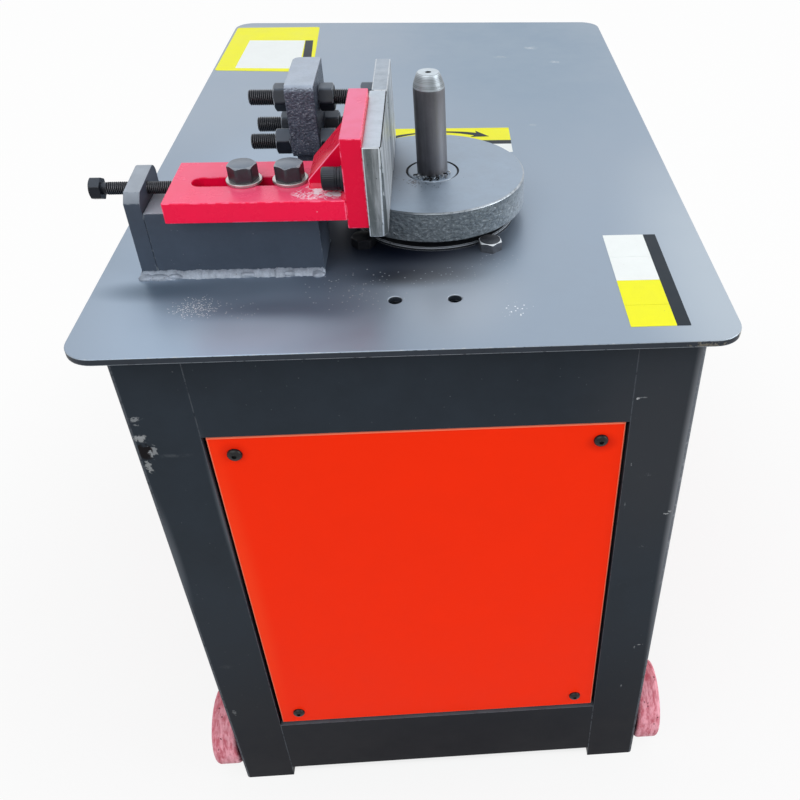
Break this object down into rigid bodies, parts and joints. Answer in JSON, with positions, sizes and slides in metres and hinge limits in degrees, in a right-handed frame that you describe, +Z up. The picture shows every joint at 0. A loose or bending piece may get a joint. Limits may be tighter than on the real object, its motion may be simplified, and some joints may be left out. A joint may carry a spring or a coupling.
{
  "type": "rebar stirrup bending machine",
  "caption": "Floor-standing stirrup bender: cabinet on front wheels, geared work disc with centre pin on the table, adjustable jaw bracket and screw-set rear jaw.",
  "frame": {"origin": "on the floor, under the centre of the table plate", "axes": "+Z up; -Y towards the front, the narrow side with the wheels; +X to the right seen from the front"},
  "size_m": [0.616, 0.94, 0.9015],
  "materials": {
    "table_grey": "satin",
    "cabinet_grey": "satin",
    "panel_orange": "satin",
    "bracket_red": "satin",
    "motor_grey": "satin",
    "wheel_red": "worn",
    "black_oxide": "black oxide",
    "plated_steel": "zinc plated",
    "jaw_steel": "bare, mottled",
    "disc_steel": "machined",
    "pin_steel": "machined",
    "gear_steel": "machined",
    "cast_iron_dark": "rough cast",
    "belt_rubber": "matte",
    "box_grey": "satin",
    "gland_black": "matte"
  },
  "bodies": {
    "machine_frame": {"table_plate": "table_grey", "post_front_left": "cabinet_grey", "post_front_right": "cabinet_grey", "post_rear_left": "cabinet_grey", "post_rear_right": "cabinet_grey", "top_rail_front": "cabinet_grey", "top_rail_rear": "cabinet_grey", "bottom_rail_front": "cabinet_grey", "bottom_rail_rear": "cabinet_grey", "top_side_rails": "cabinet_grey", "bottom_side_rails": "cabinet_grey", "front_panel": "panel_orange", "rear_panel": "panel_orange", "left_panel": "panel_orange", "right_panel": "panel_orange", "panel_strips": "cabinet_grey", "panel_screws": "plated_steel", "base_block": "cabinet_grey", "screw_lug": "cabinet_grey", "clamp_bolts": "black_oxide", "clamp_washers": "plated_steel", "stud_nuts": "black_oxide", "abutment": "cast_iron_dark", "bearings": "plated_steel", "gear_case": "cast_iron_dark", "case_cover": "cast_iron_dark", "bearing_cap": "disc_steel", "case_bolts": "black_oxide", "cover_screws": "black_oxide", "v_belts": "belt_rubber", "motor_housing": "motor_grey", "motor_hangers": "cabinet_grey", "motor_plate": "cabinet_grey", "motor_bolts": "plated_steel", "control_box": "box_grey", "cable_gland": "gland_black", "wheel_axle": "plated_steel", "axle_plates": "cabinet_grey", "axle_pins": "plated_steel"},
    "spindle": {"work_disc": "disc_steel", "centre_pin": "pin_steel", "spindle": "pin_steel", "main_gear": "gear_steel"},
    "layshaft": {"mid_shaft": "gear_steel", "mid_gear": "gear_steel"},
    "input_drive": {"input_shaft": "gear_steel", "input_pulley": "cast_iron_dark"},
    "motor_rotor": {"motor_shaft": "gear_steel", "motor_pulley": "cast_iron_dark"},
    "bracket": {"slide_plate": "bracket_red", "jaw_plate": "bracket_red", "gusset": "bracket_red", "front_jaw": "jaw_steel", "jaw_screws": "black_oxide"},
    "adjusting_screw": {"adjusting_screw": "black_oxide"},
    "rear_jaw": {"rear_jaw": "jaw_steel", "jaw_studs": "black_oxide", "jam_nuts": "black_oxide"},
    "left_wheel": {"left_wheel": "wheel_red"},
    "right_wheel": {"right_wheel": "wheel_red"}
  },
  "joints": [
    {"name": "disc_spin", "type": "hinge", "parent": "machine_frame", "child": "spindle", "pos_m": [0.0205, -0.213, 0.78], "axis": [0, 0, -1], "continuous": true},
    {"name": "mid_spin", "type": "hinge", "parent": "machine_frame", "child": "layshaft", "pos_m": [0.0205, -0.0855, 0.68], "axis": [0, 0, -1], "continuous": true},
    {"name": "input_spin", "type": "hinge", "parent": "machine_frame", "child": "input_drive", "pos_m": [0.0205, 0.02075, 0.64], "axis": [0, 0, -1], "continuous": true},
    {"name": "motor_spin", "type": "hinge", "parent": "machine_frame", "child": "motor_rotor", "pos_m": [0.0205, 0.27075, 0.56], "axis": [0, 0, -1], "continuous": true},
    {"name": "bracket_slide", "type": "slide", "parent": "machine_frame", "child": "bracket", "axis": [1, 0, 0], "range_m": [-0.001, 0.018]},
    {"name": "screw_turn", "type": "hinge", "parent": "bracket", "child": "adjusting_screw", "pos_m": [-0.25, -0.30275, 0.8262], "axis": [1, 0, 0], "range_deg": [-210, 3710]},
    {"name": "rear_jaw_slide", "type": "slide", "parent": "machine_frame", "child": "rear_jaw", "axis": [1, 0, 0], "range_m": [-0.01, 0.012]},
    {"name": "left_wheel_spin", "type": "hinge", "parent": "machine_frame", "child": "left_wheel", "pos_m": [-0.292, -0.39, 0.055], "axis": [1, 0, 0], "continuous": true},
    {"name": "right_wheel_spin", "type": "hinge", "parent": "machine_frame", "child": "right_wheel", "pos_m": [0.292, -0.39, 0.055], "axis": [1, 0, 0], "continuous": true}
  ],
  "couplings": [
    {"joint": "mid_spin", "follows": "disc_spin", "ratio": -4},
    {"joint": "input_spin", "follows": "disc_spin", "ratio": 16},
    {"joint": "motor_spin", "follows": "disc_spin", "ratio": 44.8},
    {"joint": "screw_turn", "follows": "bracket_slide", "rad_per_m": 3590.4}
  ]
}
